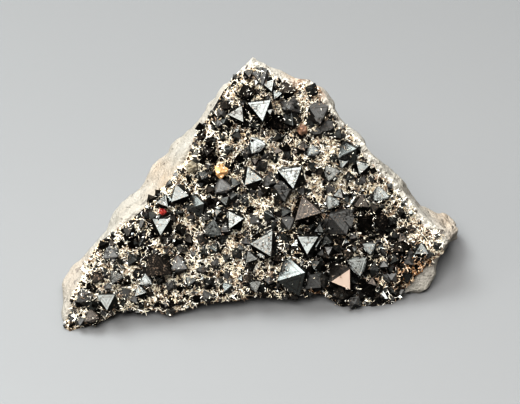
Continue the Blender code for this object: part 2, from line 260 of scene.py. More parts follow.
hostRock = {
    "cell": 0.32 * mm,
    "smoothing": 5,
    "freeFrom": (1.2 * mm, 1.0 * mm),    # weathered in full this far under the crust, over the table
    "chips": (2.8 * mm, 0.24 * mm),    # size and height
    "lumps": (1.3 * mm, 0.10 * mm),
    "grain": (0.34 * mm, 0.20 * mm),
    "knobs": (1.6 * mm, 1.1 * mm),    # only in the rugged zones
    "ruggedZones": ((32, 10, 5, 1.0), (26, 1, 4, 0.5), (-30, 6, 4, 0.35)),
    "pits": {"count": 240, "radius": (0.20 * mm, 0.50 * mm), "depth": (0.10 * mm, 0.35 * mm),
             "along": Vector((0.6, 0.35, 0.7)).normalized(), "stretch": 1.5, "seed": 14,
             "darkFrom": 0.22 * mm},
    "stains": ("peach", "grey", "ochre", "chalk"),
    "pale": (0.230, 0.215, 0.184),
    "cream": (0.215, 0.196, 0.162),
    "peach": (0.245, 0.195, 0.150),
    "grey": (0.23, 0.21, 0.18),
    "grit": (0.270, 0.252, 0.218),
    "ochre": (0.38, 0.20, 0.06),
    "chalk": (0.42, 0.39, 0.335),
    "chalkDepth": 3 * mm,    # the chalk fades out over this far behind the face
    "speck": (0.07, 0.055, 0.045),
    "peachZones": ((-29, 7, 5, 0.5), (-19, 18, 5, 0.20), (-8, 31, 4, 0.15)),
    # greyer stone; the spot at (6, 37.5) is partly painted shade
    "greyZones": ((27, 5, 6, 0.7), (6, 37.5, 3, 0.8), (32, 10, 4, 0.6)),
    "ochreZones": ((7, 36, 1.8, 0.35), (10.5, 34.5, 1.6, 0.5), (-14, 21, 3, 0.25), (31, 12, 3, 0.3)),
    "chalkZones": ((2.5, 38.5, 2, 0.5), (13, 31, 2.5, 0.9), (16, 27.5, 2.5, 0.9), (19, 23.5, 2.5, 0.9),
                   (22, 19, 2.5, 0.9), (25, 15, 2.5, 0.7)),
}


def paintRock(rock):
    # how much of each stain a point of the rock takes
    toFace = facePlace.inverted()
    for name in hostRock["stains"]:
        stain = rock.data.attributes.new(name, "FLOAT", "POINT")
        zones = hostRock[name + "Zones"]
        for vert, value in zip(rock.data.vertices, stain.data):
            spot = toFace @ vert.co
            nearFace = clamp(1.5 + spot.z / hostRock["chalkDepth"]) if name == "chalk" else 1.0
            value.value = min(1.0, zoneAmount(spot, zones)) * nearFace


def rockMaterial():
    material, sheet = newMaterial("pale tuff")
    place = placeOn(sheet)
    broad = noiseOn(sheet, place, 150, 4)
    fine = noiseOn(sheet, place, 800, 5, 0.65)
    grit = noiseOn(sheet, place, 3000, 3, 0.7)
    stains = [(name, valueOn(sheet, name) * (0.35 + broad * 0.7)) for name in hostRock["stains"]]
    flecks = noiseOn(sheet, place, 1500, 2, 0.5, stretch=(0.5, 0.5, 1))
    speck = flecks.above(0.64, 0.70)
    pitShade = valueOn(sheet, "pitShade")
    crumbs = sheet.node("ShaderNodeTexVoronoi", None, {"Vector": place, "Scale": 2600})
    shade = sheet.node("ShaderNodeSeparateColor", None, {0: crumbs.out("Color")})
    colour = layColours(
        sheet, hostRock["pale"], hostRock,
        ("cream", broad.above(0.35, 0.65)),
        ("grey", fine.above(0.50, 0.78) * 0.15),
        *stains,
        ("speck", speck * 0.7),
        # painted shade in the pits, darker the deeper they are
        ("speck", pitShade * (0.3 + fine * 0.8)),
        ("grit", grit.above(0.40, 0.7) * 0.30),
        ("grey", shade.above(0.70, 1.0) * 0.25))
    height = fine * 0.35 + grit * 0.45 - speck * 0.5 - crumbs * 0.6
    finishMaterial(sheet, {"Base Color": colour, "Roughness": 0.88,
                           "Normal": bumpOf(sheet, height, 0.30 * mm, 1.0)})
    return material


def pressPits(rock):
    # small stretched hollows, deeper in the middle, with painted shade that grows with their depth
    look = hostRock["pits"]
    rng = random.Random(look["seed"])
    verts = rock.data.vertices
    weathered = rock.vertex_groups["weathered"]
    tree = KDTree(len(verts))
    for vert in verts:
        tree.insert(vert.co, vert.index)
    tree.balance()
    rock.data.attributes.new("pitShade", "FLOAT", "POINT")
    pitShade = rock.data.attributes["pitShade"].data
    inward = [-vert.normal for vert in verts]
    sink = {}
    for _ in range(look["count"]):
        middle = verts[rng.randrange(len(verts))]
        radius = rng.uniform(*look["radius"])
        depth = rng.uniform(*look["depth"]) * weathered.weight(middle.index)
        for place, index, _ in tree.find_range(middle.co, radius):
            offset = place - middle.co
            lengthwise = offset.dot(look["along"])
            crosswise = (offset - lengthwise * look["along"]).length * look["stretch"]
            share = max(0.0, 1 - math.hypot(lengthwise, crosswise) / radius)
            if depth * share > sink.get(index, 0.0):
                sink[index] = depth * share
    for index, depth in sink.items():
        verts[index].co += inward[index] * depth
        # how much painted shade the pit gets, in full from darkFrom deep
        pitShade[index].value = min(1.0, depth / look["darkFrom"])


def makeHostRock():
    rock = copyOf(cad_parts["matrix"], "hostRock")
    rock.hide_render = rock.hide_viewport = False
    pickOnly(rock)
    startEdit()
    bpy.ops.mesh.remove_doubles(threshold=hair)
    finishEdit()
    rock.data.remesh_voxel_size = hostRock["cell"]
    bpy.ops.object.voxel_remesh()
    weathered = rock.vertex_groups.new(name="weathered")
    rugged = rock.vertex_groups.new(name="rugged")
    toFace = facePlace.inverted()
    under, over = hostRock["freeFrom"]
    for vert in rock.data.vertices:
        spot = toFace @ vert.co
        free = clamp(min(-spot.z / under, vert.co.z / over))
        weathered.add([vert.index], free, "REPLACE")
        rough = min(1.0, zoneAmount(spot, hostRock["ruggedZones"]))
        rugged.add([vert.index], free * rough, "REPLACE")
    smooth = rock.modifiers.new("soften facets", "SMOOTH")
    smooth.iterations = hostRock["smoothing"]
    smooth.vertex_group = "weathered"
    for name, kind in (("chips", "VORONOI"), ("lumps", "CLOUDS"), ("grain", "CLOUDS")):
        displace(rock, "rock " + name, kind, *hostRock[name], 0.5, "weathered")
    displace(rock, "rock knobs", "VORONOI", *hostRock["knobs"], 0.6, "rugged")
    applyAll(rock)
    pressPits(rock)
    keepInside(rock, *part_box("matrix"))
    rock.data.materials.clear()
    rock.data.materials.append(rockMaterial())
    bpy.ops.object.shade_smooth()
    paintRock(rock)
    dress(rock, "matrix")


crustLayer = {
    "outline": (    # mm on the face, from the apex round by the left foot
        (0.4, 39.3), (-2.5, 36.7), (-4.5, 34.3), (-6.7, 31), (-9.3, 27.5), (-10.6, 24.6),
        (-13.3, 21.2), (-15.3, 20), (-16.8, 18), (-20, 15.5), (-24.7, 12.7), (-26.3, 10.5),
        (-27.5, 7.7), (-29.6, 4.6), (-29.4, 2.7), (-30.8, 0.6), (-30.8, -1.5), (-29, -1),
        (-26, 0), (-22.5, 1.7), (-20, 2.5), (-19.5, 1.6), (-14.5, 1.2), (-9.5, 2.1), (-6, 2.4),
        (4, 2.2), (9, 2), (13, -1.2), (20, -1.5), (21.5, 1.3), (24, 3.8), (26.6, 5.7),
        (28.8, 8.4), (28.8, 10.3), (25, 13), (22.4, 17.2), (18.6, 22.2), (15.7, 26.2),
        (12.3, 29.8), (11.1, 32.9), (8.8, 35.3), (4.8, 35.9), (2.4, 37.4)),
    "back": -0.25 * mm,
    "top": 0.85 * mm,
    "rim": (0.30, 1.6 * mm),    # share of the height at the rim, and how far in it grows
    "bareSide": 35.5 * mm,    # the rim is bare stone where u + v is more
    "bareRim": (0.75, 2.8),    # share of the rim that is bare, and how sharply that ends
    "ragged": (1.5 * mm, 0.5),    # size and amount of its unevenness
    "cell": 0.27 * mm,
    "swells": (3.2 * mm, 0.9 * mm),
    "crumbs": (0.9 * mm, 0.8 * mm),
    "paleness": 0.42,    # where no zone and no mottling changes it
    "mottling": ((2.2 * mm, 0.50), (0.9 * mm, 0.45)),    # size and amount
    "overgrown": (0.5 * mm, 3.5 * mm),    # small things on a crystal get rarer from here up to here
    "clearOfCrystals": 0.36,    # small things keep this far from a middle, in parts of the size
    "clearOfGrains": 0.62,
    "bareBelow": 0.1 * mm,
    "steep": (0.1, 0.5, 0.15),    # steepest ground, how soon it is gentle, the share it keeps
    "roughFrom": 0.6 * mm,    # in full this high
    "cream": ((0.50, 0.38, 0.23), (0.84, 0.77, 0.64)),
    "dark": ((0.004, 0.003, 0.003), (0.014, 0.010, 0.0075)),
    "brown": (0.074, 0.046, 0.026),
    "rust": (0.26, 0.10, 0.02),
    "paleZones": (
        (12, 21, 6, 0.50), (3, 24, 6, 0.30), (-11, 6, 6, 0.45), (-4, 8, 5, 0.35),
        (-25, 7, 4.5, 1.25), (22, 11, 3, 0.30), (4, 36, 4, 0.60), (-1, 37, 3, 0.45),
        (9, 33, 3, 0.5), (3, 19, 4, 0.35), (-5, 24, 4, 0.3), (-5, 4, 4, 0.3),
        (25, 12, 3.5, 0.5), (28, 9, 3, 0.7), (-11, 24.5, 2.5, 0.35), (-13.5, 21, 2.5, 0.35),
        (-20, 15, 2.5, 0.25), (-8, 29, 2.5, 0.3), (8, 20, 3, 0.8), (-18.5, 7, 3.5, 0.60),
        (-12, 15, 4, 0.35), (12, 27, 3.2, 0.65), (5.5, 31.5, 3, 0.45), (1.5, 9, 3, 0.6),
        (21.5, 16.5, 3, 0.5), (-7.5, 11.5, 2.5, 0.35), (-1.3, 15, 2.5, 0.4),
        (7, 19.5, 2, 0.8), (-0.5, 8.9, 2, 0.8), (-21.5, 6.5, 2, 0.4)),
    "darkZones": (
        (-17, 17, 2.5, 0.2), (12, 13, 5, 0.40), (10, 6, 5, 0.40), (-1, 32, 3, 0.25),
        (-9, 18, 3, 0.15), (17, 4, 4, 0.25), (0, 5, 3, 0.40), (19.5, 12.5, 3, 0.65),
        (12.5, 2.5, 3, 0.55), (20, 1, 2.5, 0.6), (-6, 20.5, 3, 0.60), (0.3, 12.7, 2.4, 0.70),
        (8.5, 16, 2.5, 0.3), (-17, 12.5, 2.2, 0.55), (6.5, 25, 2.5, 0.4), (-6, 15.5, 2.2, 0.4),
        (-24, 3, 2, 0.4), (-6, 7, 2, 0.25), (8, 24.4, 1.8, 0.4), (4.4, 10.5, 1.6, 0.4),
        (-11.6, 8.8, 2, 0.35), (-4.5, 27.2, 1.6, 0.4), (-2, 4.5, 2.2, 0.5),
        (-29, 4, 1, 0.6), (-28, 7, 1, 0.6), (-27, 9.5, 1, 0.6), (-25.5, 12, 1, 0.6),
        (-23, 14, 1, 0.5), (-20.5, 15.5, 1, 0.5),
        (-18.5, 17, 1, 0.5), (-16, 19.5, 1, 0.5), (-13.5, 21.5, 1, 0.4), (-11.5, 23.5, 1, 0.4),
        (-10, 26.5, 1, 0.5), (-8, 29.5, 1, 0.5), (-6, 32.5, 1, 0.5), (-3.5, 35.5, 1, 0.4)),
    "rustZones": ((23.5, 5, 2.8, 0.7), (7.5, 3.2, 1.4, 0.6), (7, 35.6, 1.2, 0.5), (10.5, 33.8, 1.4, 0.5)),
}


def networkOn(sheet, place, scale, width):
    # thin winding ridges between cells, 1 on a ridge
    drift = sheet.node("ShaderNodeTexNoise", None, {"Vector": place, "Scale": scale * 0.8, "Detail": 2.0},
                       output="Color")
    drift = vectors(sheet, "SCALE", {0: drift, "Scale": 0.9 / scale})
    winding = vectors(sheet, "ADD", {0: place, 1: drift})
    cells = sheet.node("ShaderNodeTexVoronoi", {"feature": "DISTANCE_TO_EDGE"},
                       {"Vector": winding, "Scale": scale})
    return 1 - cells.above(width * 0.4, width)


def groundMaterial():
    material, sheet = newMaterial("crust ground")
    place = placeOn(sheet)
    pale = valueOn(sheet, "pale")
    rust = valueOn(sheet, "rust")
    fine = noiseOn(sheet, place, 1500, 4, 0.6)
    patch = noiseOn(sheet, place, 900, 3, 0.6)
    ridges = networkOn(sheet, place, 1700, 0.16)
    cream = mixColour(sheet, fine.above(0.35, 0.7), *crustLayer["cream"])
    dark = mixColour(sheet, fine, *crustLayer["dark"])
    dark = mixColour(sheet, (pale + patch).above(0.80, 1.30), dark, crustLayer["brown"])
    light = (patch + pale * 0.30 + ridges * 0.26).above(0.78, 0.88)
    colour = mixColour(sheet, light, dark, cream)
    bare = valueOn(sheet, "bare")
    stone = mixColour(sheet, fine.above(0.35, 0.65), hostRock["chalk"], hostRock["pale"])
    stone = mixColour(sheet, (1 - patch).above(0.56, 0.64) * 0.8, stone, hostRock["speck"])
    colour = mixColour(sheet, (bare * 0.8 + patch * 0.4).above(0.45, 0.60), colour, stone)
    colour = mixColour(sheet, rust * (0.4 + patch * 0.6), colour, crustLayer["rust"])
    finishMaterial(sheet, {"Base Color": colour, "Roughness": 0.7, "Specular IOR Level": 0.2,
                           "Normal": bumpOf(sheet, fine * 0.5 + ridges * 0.7, 0.3 * mm, 0.9)})
    return material


def rimDistance(spot, outline):
    # from a point on the face to the nearest side of the outline
    nearest = math.inf
    for a, b in zip(outline, outline[1:] + outline[:1]):
        side = b - a
        share = clamp((spot - a).dot(side) / side.length_squared)
        nearest = min(nearest, (spot - a - share * side).length)
    return nearest


def markCrust(mesh, isCrystal=False):
    # where the scattered things find room, and how pale or rusty the crust is there
    outline = [Vector(point) * mm for point in crustLayer["outline"]]
    nearCrystal, nearGrain = crustLayer["clearOfCrystals"], crustLayer["clearOfGrains"]
    bigOnes = [(Vector((u, v)) * mm, nearCrystal * edge * mm) for u, v, edge, *_ in largeCrystals["places"]]
    grainSpots = [(Vector(place) * mm, nearGrain * size * mm) for place, size, *_ in grains.values()]
    full, bald = crustLayer["overgrown"]
    steepest, gentler, kept = crustLayer["steep"]
    bare = [value.value for value in mesh.attributes["bare"].data] if not isCrystal else []
    marks = ("pale", "rust", "room", "crystal")
    for name in marks:
        mesh.attributes.new(name, "FLOAT", "POINT")
    pale, rust, room, crystal = (mesh.attributes[name].data for name in marks)
    for i, vert in enumerate(mesh.vertices):
        level = (crustLayer["paleness"] + zoneAmount(vert.co, crustLayer["paleZones"])
                 - zoneAmount(vert.co, crustLayer["darkZones"]))
        for size, amount in crustLayer["mottling"]:
            level += amount * noise.noise(vert.co / size)
        pale[i].value = clamp(level)
        rust[i].value = min(1.0, zoneAmount(vert.co, crustLayer["rustZones"]))
        spot = vert.co.to_2d()
        overGrain = any((spot - middle).length < reach for middle, reach in grainSpots)
        if isCrystal:
            crystal[i].value = 1.0
            free = inside(spot, outline) and not overGrain
            room[i].value = clamp((bald - vert.co.z) / (bald - full)) if free else 0.0
        else:
            covered = overGrain or any((spot - middle).length < reach for middle, reach in bigOnes)
            covered = covered or vert.co.z < crustLayer["bareBelow"]
            slope = clamp((vert.normal.z - steepest) / gentler)
            room[i].value = 0.0 if covered else kept + (1 - kept) * slope
            room[i].value *= 1 - bare[i]


def makeCrustLayer():
    outline = crustLayer["outline"]
    bpy.ops.mesh.primitive_circle_add(vertices=len(outline), fill_type="NGON")
    layer = bpy.context.object
    layer.name = "crustGround"
    for vert, (u, v) in zip(layer.data.vertices, outline):
        vert.co = Vector((u * mm, v * mm, crustLayer["back"]))
    startEdit()
    rise = crustLayer["top"] - crustLayer["back"]
    bpy.ops.mesh.extrude_region_move(TRANSFORM_OT_translate={"value": (0, 0, rise)})
    bpy.ops.mesh.select_all(action="SELECT")
    bpy.ops.mesh.normals_make_consistent(inside=False)
    finishEdit()
    layer.data.remesh_voxel_size = crustLayer["cell"]
    bpy.ops.object.voxel_remesh()
    front = layer.vertex_groups.new(name="front")
    corners = [Vector(point) * mm for point in outline]
    least, reach = crustLayer["rim"]
    bareShare, sharpness = crustLayer["bareRim"]
    raggedSize, raggedness = crustLayer["ragged"]
    bare = []
    for vert in layer.data.vertices:
        front.add([vert.index], clamp(vert.co.z / crustLayer["roughFrom"]), "REPLACE")
        inward = min(1.0, rimDistance(vert.co.to_2d(), corners) / reach)
        uneven = raggedness * noise.noise(vert.co / raggedSize)
        onBareSide = vert.co.x + vert.co.y > crustLayer["bareSide"]
        bare.append(clamp(sharpness * (bareShare + uneven - inward)) if onBareSide else 0.0)
        vert.co.z *= least + (1 - least) * math.sin(inward * math.pi / 2) if vert.co.z > 0 else 1
    layer.data.attributes.new("bare", "FLOAT", "POINT").data.foreach_set("value", bare)
    for name in ("swells", "crumbs"):
        displace(layer, "crust " + name, "CLOUDS", *crustLayer[name], 0.5, "front")
    applyAll(layer)
    markCrust(layer.data)
    layer.matrix_world = facePlace
    settle(layer)
    cutAtTable(layer)
    layer.data.materials.append(groundMaterial())
    dress(layer, "magnetite_crust")
    return layer


largeCrystals = {
    "top": 1.25 * mm,    # height of the crust that they stand in
    "paintedReflection": (11.8, 5),    # the one with a facet painted with a warm reflection, and which way that facet faces
    "paintedReflectionFacing": Vector((0.18, -0.21, 0.96)).normalized(),
    "raised": {"tip": 0.08, "edge": 0.08, "face": 0.28},    # middle over the crust, in edges
    "uneven": (0.93, 1.07),
    "slimmer": 0.97,    # just inside the solids' own
    "wornEdge": 0.018,
    "steppedShare": 0.35,    # of the large ones have growth steps, each an inset and a rise
    "steps": ((0.10, 0.0), (0.012, 0.030), (0.13, 0.0), (0.012, 0.025)),
    "growths": (1, 3),    # smaller ones on each, and their size
    "growthSizes": (0.22, 0.42),
    "growthSeed": 5,
    "places": (    # u, v, edge in mm; what points out; turn, lean, its direction in degrees; tone, partly painted light and shade, higher for crystals that caught the light
        (1.5, 36.5, 2.5, "edge", 70, 14, 340, 0.5), (2.5, 35, 2.0, "face", 60, 22, 118, 1),
        (3.5, 33.5, 1.6, "face", 20, 22, 110, 1), (5, 34, 2.5, "tip", 10, 12, 200, 0.25),
        (1, 31.5, 3.7, "face", 50, 22, 115, 1), (-2.5, 31, 2.6, "face", 75, 16, 120, 0.7),
        (5.5, 31.5, 2.7, "tip", -30, 15, 200, 0.6), (5.5, 29.5, 2.8, "tip", 0, 20, 270, 0.9),
        (0, 29, 1.8, "edge", -35, 20, 265, 1), (9.5, 30.5, 3.2, "face", 45, 10, 80, 0.58),
        (3, 29.5, 2.6, "face", -15, 14, 250, 0.03), (11, 28, 2.4, "tip", 20, 8, 300, 0.5),
        (0, 26, 2.5, "face", 15, 22, 112, 1), (8.5, 24.5, 2.1, "edge", 15, 10, 285, 0.95),
        (14, 24, 3.4, "edge", 25, 16, 163, 0.85), (13, 22.5, 1.8, "face", 30, 20, 110, 0.95),
        (16, 21.5, 2.3, "edge", 40, 12, 305, 0.9), (5, 21, 3.9, "face", 50, 22, 112, 1),
        (3.5, 19, 3.1, "face", 45, 8, 60, 0.55), (-1, 21, 3.0, "edge", 15, 12, 285, 0.9),
        (1.5, 20.5, 2.0, "face", 0, 12, 60, 0.6), (11, 21, 2.5, "face", 20, 20, 90, 0.7),
        (-12, 19.5, 3.0, "face", 0, 22, 125, 0.9), (-14.5, 18.5, 2.0, "face", 80, 20, 110, 0.9),
        (-9.5, 17.5, 3.1, "edge", 15, 16, 155, 0.95), (-5.5, 20, 2.6, "edge", 10, 12, 285, 0.6),
        (-4, 15, 2.9, "face", 15, 20, 120, 0.85), (-15, 15, 3.0, "face", 40, 23, 115, 0.95),
        (-7.5, 13.5, 2.9, "edge", -10, 12, 265, 0.9), (7, 15.5, 4.3, "edge", 12, 14, 282, 0.3),
        (4, 14, 2.2, "face", 45, 12, 70, 0.6), (11, 16.5, 2.3, "face", 15, 20, 115, 0.95),
        (12, 13.5, 4.4, "edge", -52, 14, 200, 0.56), (7, 10.5, 3.4, "face", 40, 23, 120, 0.95),
        (0.5, 10.5, 4.1, "tip", 70, 28, 295, 0.8), (-2, 9, 2.1, "face", 0, 12, 100, 0.75),
        (4.4, 5.6, 4.8, "edge", 15, 16, 155, 1), (11.8, 5, 4.1, "edge", 30, 20, 110, 0.1),
        (14.5, 6.5, 3.1, "face", 50, 20, 110, 0.8), (7.5, 4.5, 2.7, "edge", -50, 10, 30, 0.6),
        (16.5, 9, 2.1, "face", 45, 22, 115, 0.95), (-16, 9, 3.7, "face", -15, 6, 265, 0.29),
        (-13, 8.5, 2.7, "edge", 0, 14, 265, 0.6), (-19, 5, 2.1, "face", 0, 22, 112, 1),
        (-18, 6.5, 1.9, "face", -15, 22, 112, 1), (-24, 4, 3.0, "face", 45, 22, 115, 0.8),
        (-27.5, 4.5, 2.4, "tip", 20, 12, 200, 0.5), (-26.5, 1.5, 2.5, "edge", 10, 10, 230, 0.3),
        (-23, 11, 2.4, "edge", 5, 12, 240, 0.6), (18.5, 17, 2.4, "edge", 10, 14, 275, 0.85),
        (15.5, 16, 2.4, "edge", -10, 14, 250, 0.35), (18.5, 13, 2.4, "face", 60, 6, 200, 0.1),
        (21.5, 8.5, 2.4, "tip", 10, 8, 260, 0.2), (24.5, 8, 2.2, "face", -20, 20, 105, 0.95),
        (12, 2, 2.6, "tip", 0, 14, 250, 0.4), (-7.5, 25.5, 2.4, "tip", 30, 8, 230, 0.15),
        (-1, 34, 2.3, "tip", 15, 14, 260, 0.15), (-20, 14, 2.1, "tip", 60, 10, 200, 0.2),
        (16, 2.5, 2.1, "face", 80, 10, 200, 0.15), (-22.5, 7.5, 2.1, "face", 15, 16, 120, 0.7),
        (16, 13, 2.4, "tip", 40, 20, 100, 0.12), (-1.5, 4.5, 1.9, "face", 45, 15, 90, 0.7)),
}
smallCrystals = {    # the solids' own smaller octahedra, drawn in the same order
    "count": 95,
    "edges": (1.15 * mm, 1.8 * mm),
    "spacing": 1.7 * mm,
    "margin": 1.1 * mm,
    "clearOfLarge": 0.62,    # in parts of the large one's edge
    "seed": 11,
    "raised": 0.15,
    "uneven": (0.9, 1.1),
    "tones": (0.3, 1.0),
    "growths": (0, 1),
}
magnetite = {
    "dull": (0.008, 0.006, 0.005),    # from the darkest crystal to the brightest
    "steel": (0.040, 0.037, 0.032),
    "bright": (0.076, 0.079, 0.074),
    "dusty": (0.036, 0.029, 0.023),
    "matte": (0.087, 0.085, 0.080),
    "bands": (0.022, 0.020, 0.018),
    "mottle": (0.030, 0.028, 0.025),
    "veins": (0.006, 0.005, 0.004),
    # painted shade for facets turned away from the light side
    "paintedShade": (0.006, 0.0055, 0.005),
    "powder": (0.33, 0.245, 0.18),
    "paintedReflection": (0.50, 0.395, 0.32),
    "grazing": (0.30, 0.30, 0.30),    # how much a facet seen edge on mirrors
}
outwardAxis = {
    "tip": Vector((0, 0, 1)),
    "face": Vector((1, 1, 1)).normalized(),
    "edge": Vector((1, 0, 1)).normalized(),
}
grains = {    # place and size in mm, main and second colour, roughness
    "amber_grain": ((-5.6, 22.6), 2.1, (0.44, 0.25, 0.105), (0.70, 0.60, 0.44), 0.4),
    "red_grain": ((-14.7, 17.0), 1.2, (0.23, 0.014, 0.011), (0.34, 0.06, 0.04), 0.3),
    "brown_grain": ((7.0, 28.0), 1.6, (0.20, 0.115, 0.07), (0.10, 0.055, 0.035), 0.55),
    "olive_grain": ((-10.0, 23.6), 1.7, (0.165, 0.14, 0.095), (0.27, 0.245, 0.19), 0.65),
}
grainShape = {    # in parts of a grain's size
    "room": 0.8,    # no growth comes nearer than this to its middle
    "swell": 1.10,    # before the chips take from it
    "chips": (0.42, 0.34),    # size and height
    "grit": (0.12, 0.07),
    "shade": 0.30,    # how light the darker patches are
}


def crystalTurn(stance, turn, lean, toward):
    # points a tip, face or edge of an octahedron outwards, leaning
    upright = outwardAxis[stance].rotation_difference(Vector((0, 0, 1))).to_matrix()
    spin = Matrix.Rotation(math.radians(turn), 3, "Z")
    heading = math.radians(toward)
    across = Vector((-math.sin(heading), math.cos(heading), 0))
    return Matrix.Rotation(math.radians(lean), 3, across) @ spin @ upright


def inside(point, outline):
    crossed = False
    for a, b in zip(outline, outline[1:] + outline[:1]):
        if (a.y > point.y) != (b.y > point.y):
            if point.x < a.x + (point.y - a.y) / (b.y - a.y) * (b.x - a.x):
                crossed = not crossed
    return crossed


def crystalPlan():
    # every octahedron of the solids: (middle, edge, turn, stretch, tone; none for a small one)
    rng = random.Random(smallCrystals["seed"])
    plan = []
    taken = [(Vector(place) * mm, size * mm) for place, size, *_ in grains.values()]
    for u, v, edge, stance, turn, lean, toward, tone in largeCrystals["places"]:
        edge *= mm
        middle = Vector((u * mm, v * mm, largeCrystals["top"] + largeCrystals["raised"][stance] * edge))
        stretch = [rng.uniform(*largeCrystals["uneven"]) for _ in range(3)]
        plan.append((middle, edge, crystalTurn(stance, turn, lean, toward), stretch, tone))
        taken.append((Vector((u, v)) * mm, smallCrystals["clearOfLarge"] * edge))
    outline = [Vector(point) * mm for point in crustLayer["outline"]]
    rimTests = [Vector(step) * smallCrystals["margin"] for step in ((1, 0), (-1, 0), (0, 1), (0, -1))]
    across, up = ([point[axis] for point in outline] for axis in (0, 1))
    spots = []
    while len(spots) < smallCrystals["count"]:
        spot = Vector((rng.uniform(min(across), max(across)), rng.uniform(min(up), max(up))))
        if not all(inside(spot + step, outline) for step in rimTests):
            continue
        free = all((spot - other).length > room for other, room in taken)
        if free and all((spot - other).length > smallCrystals["spacing"] for other in spots):
            spots.append(spot)
    for spot in spots:
        edge = rng.uniform(*smallCrystals["edges"])
        stance = rng.choice(("tip", "face", "edge"))
        turn = crystalTurn(stance, rng.uniform(0, 360), rng.uniform(0, 30), rng.uniform(0, 360))
        stretch = [rng.uniform(*smallCrystals["uneven"]) for _ in range(3)]
        middle = spot.to_3d() + Vector((0, 0, largeCrystals["top"] + smallCrystals["raised"] * edge))
        plan.append((middle, edge, turn, stretch, None))
    return plan


def magnetiteMaterial(name, dust, gloss, shine=1.0):
    material, sheet = newMaterial(name)
    place = placeOn(sheet)
    tone = valueOn(sheet, "tone")
    paintedReflection = valueOn(sheet, "paintedReflection")
    broad = noiseOn(sheet, place, 600, 3, 0.6)
    fine = noiseOn(sheet, place, 3600, 4, 0.65)
    frost = maths("FRACT", tone * 7.31)
    own = sheet.node("ShaderNodeAttribute", {"attribute_name": "own"}, output="Vector")
    own = vectors(sheet, "ABSOLUTE", {0: own})
    across, over, up = (sheet.node("ShaderNodeSeparateXYZ", None, {0: own}, output=axis)
                        for axis in (0, 1, 2))
    inward = maths("MINIMUM", maths("MINIMUM", across, over), up)    # 0 at the edge of a facet
    steps = lineNoise(sheet, inward * 13 + tone * 40 + broad)
    lines = lineNoise(sheet, up * 17 + tone * 70 + broad * 0.5)
    bands = steps * 0.55 + lines * 0.45
    facing = valueOn(sheet, "facing")
    dusty = tone.above(0.20, 0.28) * (1 - tone.above(0.34, 0.42)) * facing.above(0.45, 0.75)
    matte = tone.above(0.43, 0.48) * (1 - tone.above(0.61, 0.66))
    veins = 1 - maths("ABSOLUTE", broad - 0.5).above(0.008, 0.030)
    veins = veins * noiseOn(sheet, place, 260, 2).above(0.44, 0.54)
    powder = (fine + broad * 0.3 + dusty * 0.04).above(0.74, 0.90) * dust
    paintedReflection = paintedReflection * inward.above(0.035, 0.055)    # the painted reflection stops short of the edges
    # the metal grows brighter with tone; the large crystals' listed tones are partly painted light and
    # shade
    metal = mixColour(sheet, tone.above(0.0, 0.35), magnetite["dull"], magnetite["steel"])
    brightest = [value * shine for value in magnetite["bright"]]
    metal = mixColour(sheet, tone.above(0.4, 1.0), metal, brightest)
    metal = layColours(
        sheet, metal, magnetite,
        ("dusty", dusty * 0.7),
        ("matte", matte * 0.9),
        ("bands", bands.above(0.48, 0.60) * (0.50 + dusty * 0.2)),
        ("mottle", (broad * 0.6 + fine * 0.4).above(0.47, 0.62) * 0.45),
        ("veins", veins * 0.85))
    # painted shade: facets turned away from the light side darken to near black
    metal = mixColour(sheet, facing.above(0.0, 0.55), magnetite["paintedShade"], metal)
    # the painted warm reflection covers the one marked facet
    colour = layColours(sheet, metal, magnetite, ("powder", powder), ("paintedReflection", paintedReflection))
    rough = gloss + frost * 0.14 + broad * 0.12 + powder * 0.4 + paintedReflection * 0.2 + matte * 0.15
    metallic = (1 - powder) * (1 - paintedReflection * 0.8) * (0.85 - dusty * 0.5 - matte * 0.6)
    finishMaterial(sheet, {"Base Color": colour, "Metallic": metallic, "Roughness": rough,
                           "Specular Tint": (*magnetite["grazing"], 1), "Specular IOR Level": 0.3,
                           "Normal": bumpOf(sheet, broad + fine * 0.35 + bands * 0.8, 0.06 * mm, 0.6)})
    return material


def makeOctahedron(name, bevel):
    # a globe of four segments, with its two rings drawn together to one square
    seed = addGlobe(4, 3)
    seed.name = name
    for vert in seed.data.vertices:
        if abs(vert.co.z) < 0.9:
            vert.co = Vector((vert.co.x, vert.co.y, 0)).normalized()
    startEdit()
    bpy.ops.mesh.remove_doubles(threshold=0.01)
    finishEdit()
    if bevel:
        soften = seed.modifiers.new("worn edges", "BEVEL")
        soften.width = bevel
        soften.segments = 1
        applyAll(seed)
    return seed


def addCrystal(template, place, tone, hasPaintedReflection=False):
    crystal = copyOf(template, "octahedron")
    own = crystal.data.attributes.new("own", "FLOAT_VECTOR", "POINT").data
    for vert, value in zip(crystal.data.vertices, own):
        value.vector = vert.co
    crystal.data.transform(place)
    for value in crystal.data.attributes.new("tone", "FLOAT", "POINT").data:
        value.value = tone
    # the faces of the one crystal that carry the painted warm reflection
    paintedReflection = crystal.data.attributes.new("paintedReflection", "FLOAT", "FACE").data
    if hasPaintedReflection:
        for face, value in zip(crystal.data.polygons, paintedReflection):
            value.value = float(face.normal.dot(largeCrystals["paintedReflectionFacing"]) > 0.95)
    return crystal


def stepFaces(template):
    # triangular growth steps on every face
    pickOnly(template)
    startEdit()
    for inset, rise in largeCrystals["steps"]:
        bpy.ops.mesh.inset(thickness=inset, depth=rise, use_individual=True)
    finishEdit()


